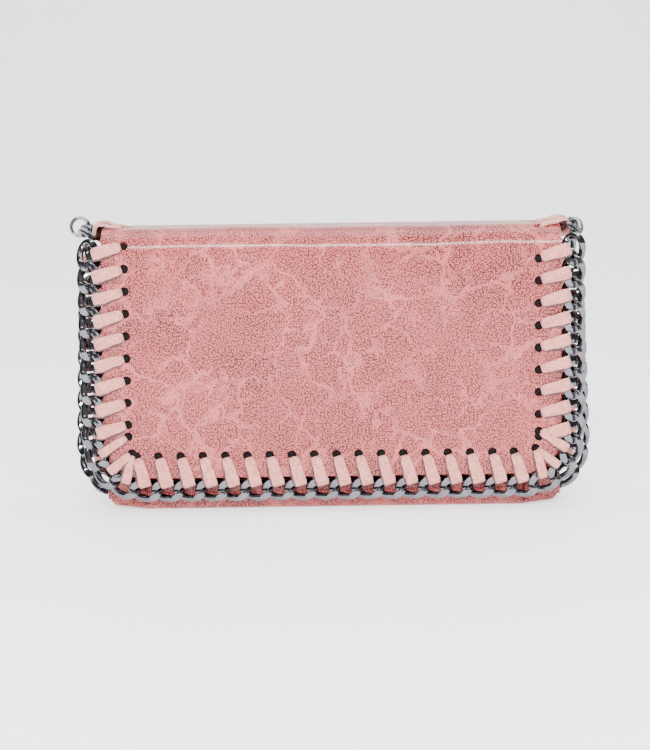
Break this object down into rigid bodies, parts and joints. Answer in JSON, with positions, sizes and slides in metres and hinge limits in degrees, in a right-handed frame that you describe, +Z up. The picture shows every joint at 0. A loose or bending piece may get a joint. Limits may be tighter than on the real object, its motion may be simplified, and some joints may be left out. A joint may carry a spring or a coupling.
{
  "type": "chain-trimmed flap wallet",
  "caption": "Long pink leather flap wallet edged with flat curb chain whip-stitched on with suede lace; magnetic snap, zipped coin pocket and card slots inside.",
  "frame": {"origin": "centre of the flat bottom fold that the wallet stands on", "axes": "+Z up, the flap faces -Y, +X to the right as the flap is seen"},
  "size_m": [0.204, 0.0413, 0.1146],
  "materials": {
    "printed_leather": "glossy coated leather with a printed pebble grain and pale creases",
    "suede_lace": "matt suede lace",
    "gunmetal_chain": "polished gunmetal plate with flat cut faces",
    "inner_leather": "smooth matt leather",
    "lining_twill": "black twill",
    "fibre_board": "pressed fibre board",
    "snap_nickel": "satin gunmetal",
    "zip_tape_cloth": "black woven tape",
    "zip_metal": "polished gunmetal"
  },
  "bodies": {
    "body": {"back_board": "fibre_board", "body_chain_left": "gunmetal_chain", "body_chain_right": "gunmetal_chain", "body_lace_left": "suede_lace", "body_lace_right": "suede_lace", "body_leather": "printed_leather", "body_lining": "lining_twill", "card_slot_1": "inner_leather", "card_slot_2": "inner_leather", "card_slot_3": "inner_leather", "card_slot_4": "inner_leather", "coin_gusset": "lining_twill", "coin_leaf_back": "inner_leather", "coin_leaf_front": "inner_leather", "corner_lace_left": "suede_lace", "corner_lace_right": "suede_lace", "corner_tab_left": "printed_leather", "corner_tab_right": "printed_leather", "front_board": "fibre_board", "lace_tail": "suede_lace", "mouth_binding": "inner_leather", "snap_socket": "snap_nickel", "snap_socket_washer": "snap_nickel", "zip_stops": "zip_metal", "zip_tape_back": "zip_tape_cloth", "zip_tape_front": "zip_tape_cloth", "zip_teeth_back": "zip_metal", "zip_teeth_front": "zip_metal"},
    "bridge": {"bridge_chain_left": "gunmetal_chain", "bridge_chain_right": "gunmetal_chain", "bridge_lace_left": "suede_lace", "bridge_lace_right": "suede_lace", "bridge_leather": "printed_leather", "bridge_lining": "lining_twill"},
    "flap": {"flap_board": "fibre_board", "flap_chain": "gunmetal_chain", "flap_lace": "suede_lace", "flap_leather": "printed_leather", "flap_lining": "lining_twill", "snap_stud": "snap_nickel", "snap_stud_washer": "snap_nickel"},
    "strap_ring": {"strap_ring": "gunmetal_chain"},
    "zip_slider": {"zip_slider": "zip_metal"},
    "zip_pull": {"zip_pull": "zip_metal"}
  },
  "joints": [
    {"name": "back_fold", "type": "hinge", "parent": "body", "child": "bridge", "pos_m": [0, 0.01296, 0.10736], "axis": [-1, 0, 0], "range_deg": [0, 120]},
    {"name": "front_fold", "type": "hinge", "parent": "bridge", "child": "flap", "pos_m": [0, -0.01776, 0.10736], "axis": [-1, 0, 0], "range_deg": [0, 90]},
    {"name": "ring_swivel", "type": "hinge", "parent": "bridge", "child": "strap_ring", "pos_m": [-0.09665, -0.0024, 0.1092], "axis": [0, 1, 0], "range_deg": [-130, 60]},
    {"name": "zip_slide", "type": "slide", "parent": "body", "child": "zip_slider", "axis": [1, 0, 0], "range_m": [-0.096, 0]},
    {"name": "pull_swing", "type": "hinge", "parent": "zip_slider", "child": "zip_pull", "pos_m": [0.05, 0, 0.0826], "axis": [0, 1, 0], "range_deg": [0, 172]}
  ]
}
